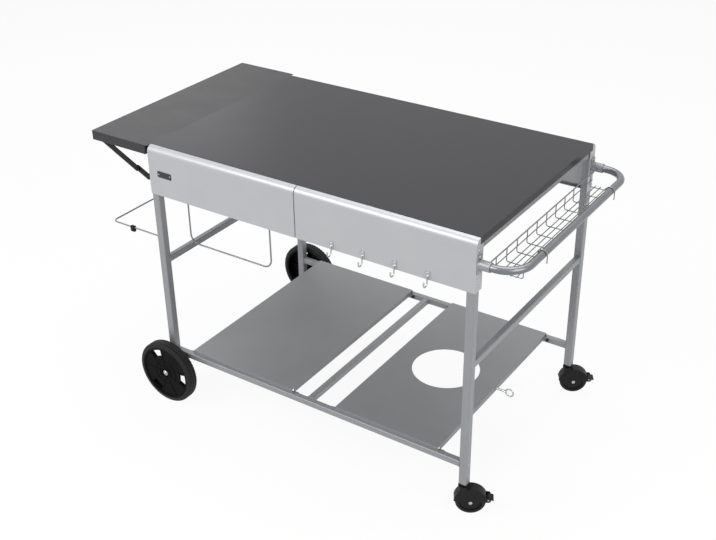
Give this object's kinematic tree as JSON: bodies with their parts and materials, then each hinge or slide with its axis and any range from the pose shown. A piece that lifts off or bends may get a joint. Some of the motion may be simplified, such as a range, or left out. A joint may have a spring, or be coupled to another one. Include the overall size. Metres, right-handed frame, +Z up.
{
  "type": "griddle cart",
  "caption": "Steel worktable cart on two large wheels and two braked casters, with fold-down side shelf, lower shelves, push handle with wire rack, hooks and holders.",
  "frame": {"origin": "On the floor, in the middle of the cart's outline seen from above.", "axes": "+X runs to the end with the push handle, +Y to the back, +Z up; the front panels face -Y."},
  "size_m": [1.481, 0.8406, 0.905],
  "materials": {
    "silver_paint": "satin",
    "dark_paint": "satin",
    "shelf_paint": "satin",
    "black_paint": "satin",
    "black_steel": "satin",
    "bright_steel": "satin",
    "black_plastic": "matte",
    "black_rubber": "matte"
  },
  "bodies": {
    "frame": {"tabletop": "dark_paint", "tabletop_ribs": "dark_paint", "front_apron_left": "silver_paint", "front_apron_right": "silver_paint", "back_apron": "silver_paint", "leg_front_left": "silver_paint", "leg_front_right": "silver_paint", "leg_back_left": "silver_paint", "leg_back_right": "silver_paint", "leg_inserts": "black_plastic", "frame_bolts": "bright_steel", "top_side_rails": "silver_paint", "top_centre_rail": "silver_paint", "lower_front_rail": "silver_paint", "lower_back_rail": "silver_paint", "centre_bar": "silver_paint", "crossbar_left": "silver_paint", "crossbar_right": "silver_paint", "bottle_shelf": "shelf_paint", "tank_shelf": "shelf_paint", "shelf_bolts": "black_steel", "screw_nut": "bright_steel", "hinge_leaves_fixed": "black_steel", "hinge_pins": "bright_steel", "strut_anchors": "black_steel", "handle_tube": "bright_steel", "handle_sockets": "silver_paint", "spice_rack": "bright_steel", "tool_hooks": "bright_steel", "badge_plate": "dark_paint", "towel_brackets": "silver_paint", "bag_loop": "bright_steel", "bag_grommets": "black_plastic", "bag_clips": "black_plastic", "axle": "bright_steel", "axle_hardware": "bright_steel", "caster_stems": "bright_steel"},
    "side_shelf": {"side_shelf": "black_paint", "hinge_leaves_moving": "black_steel", "strut_hangers": "black_steel"},
    "strut_upper_front": {"strut_upper_front": "black_steel"},
    "strut_upper_back": {"strut_upper_back": "black_steel"},
    "strut_lower_front": {"strut_lower_front": "black_steel"},
    "strut_lower_back": {"strut_lower_back": "black_steel"},
    "wheel_front": {"wheel_core_front": "black_plastic", "wheel_tyre_front": "black_rubber"},
    "wheel_back": {"wheel_core_back": "black_plastic", "wheel_tyre_back": "black_rubber"},
    "caster_front": {"caster_fork_front": "black_plastic", "caster_axle_front": "bright_steel"},
    "caster_back": {"caster_fork_back": "black_plastic", "caster_axle_back": "bright_steel"},
    "caster_wheel_front": {"caster_wheel_front": "black_rubber"},
    "caster_wheel_back": {"caster_wheel_back": "black_rubber"},
    "brake_front": {"brake_pedal_front": "black_plastic"},
    "brake_back": {"brake_pedal_back": "black_plastic"},
    "screw_pad": {"screw_pad": "black_plastic"},
    "eye_screw": {"eye_screw": "bright_steel"},
    "roll_holder": {"towel_wire": "bright_steel"}
  },
  "joints": [
    {"name": "side_shelf_fold", "type": "hinge", "parent": "frame", "child": "side_shelf", "pos_m": [-0.5155, 0, 0.875], "axis": [0, -1, 0], "range_deg": [0, 90]},
    {"name": "strut_upper_front_turn", "type": "hinge", "parent": "side_shelf", "child": "strut_upper_front", "pos_m": [-0.7155, -0.363, 0.887], "axis": [0, -1, 0], "range_deg": [0, 27.07]},
    {"name": "strut_upper_back_turn", "type": "hinge", "parent": "side_shelf", "child": "strut_upper_back", "pos_m": [-0.7155, 0.363, 0.887], "axis": [0, -1, 0], "range_deg": [0, 27.07]},
    {"name": "strut_lower_front_turn", "type": "hinge", "parent": "frame", "child": "strut_lower_front", "pos_m": [-0.5275, -0.3587, 0.793], "axis": [0, -1, 0], "range_deg": [-63.93, 0]},
    {"name": "strut_lower_back_turn", "type": "hinge", "parent": "frame", "child": "strut_lower_back", "pos_m": [-0.5275, 0.3587, 0.793], "axis": [0, -1, 0], "range_deg": [-63.93, 0]},
    {"name": "wheel_front_spin", "type": "hinge", "parent": "frame", "child": "wheel_front", "pos_m": [-0.4968, -0.3983, 0.109], "axis": [0, 1, 0], "continuous": true},
    {"name": "wheel_back_spin", "type": "hinge", "parent": "frame", "child": "wheel_back", "pos_m": [-0.4968, 0.3983, 0.109], "axis": [0, 1, 0], "continuous": true},
    {"name": "caster_front_swivel", "type": "hinge", "parent": "frame", "child": "caster_front", "pos_m": [0.5978, -0.3563, 0.096], "axis": [0, 0, 1], "continuous": true},
    {"name": "caster_back_swivel", "type": "hinge", "parent": "frame", "child": "caster_back", "pos_m": [0.5978, 0.3563, 0.096], "axis": [0, 0, 1], "continuous": true},
    {"name": "caster_front_spin", "type": "hinge", "parent": "caster_front", "child": "caster_wheel_front", "pos_m": [0.61512, -0.3463, 0.045], "axis": [-0.5, 0.866, 0], "continuous": true},
    {"name": "caster_back_spin", "type": "hinge", "parent": "caster_back", "child": "caster_wheel_back", "pos_m": [0.61512, 0.3663, 0.045], "axis": [-0.5, 0.866, 0], "continuous": true},
    {"name": "brake_front_press", "type": "hinge", "parent": "caster_front", "child": "brake_front", "pos_m": [0.65929, -0.3208, 0.055], "axis": [-0.5, 0.866, 0], "range_deg": [0, 25]},
    {"name": "brake_back_press", "type": "hinge", "parent": "caster_back", "child": "brake_back", "pos_m": [0.65929, 0.3918, 0.055], "axis": [-0.5, 0.866, 0], "range_deg": [0, 25]},
    {"name": "tank_screw_turn", "type": "hinge", "parent": "screw_pad", "child": "eye_screw", "pos_m": [0.5105, 0, 0.188], "axis": [-1, 0, 0], "range_deg": [0, 3460]},
    {"name": "tank_screw_travel", "type": "slide", "parent": "frame", "child": "screw_pad", "axis": [-1, 0, 0], "range_m": [0, 0.012]},
    {"name": "roll_holder_swing", "type": "hinge", "parent": "frame", "child": "roll_holder", "pos_m": [-0.2975, -0.271, 0.732], "axis": [1, 0, 0], "range_deg": [-75, 75]}
  ],
  "couplings": [
    {"joint": "strut_upper_front_turn", "follows": "side_shelf_fold", "ratio": 0.29517},
    {"joint": "strut_upper_back_turn", "follows": "side_shelf_fold", "ratio": 0.29517},
    {"joint": "strut_lower_front_turn", "follows": "side_shelf_fold", "ratio": -0.70483},
    {"joint": "strut_lower_back_turn", "follows": "side_shelf_fold", "ratio": -0.70483},
    {"joint": "tank_screw_turn", "follows": "tank_screw_travel", "rad_per_m": 5026.5}
  ]
}
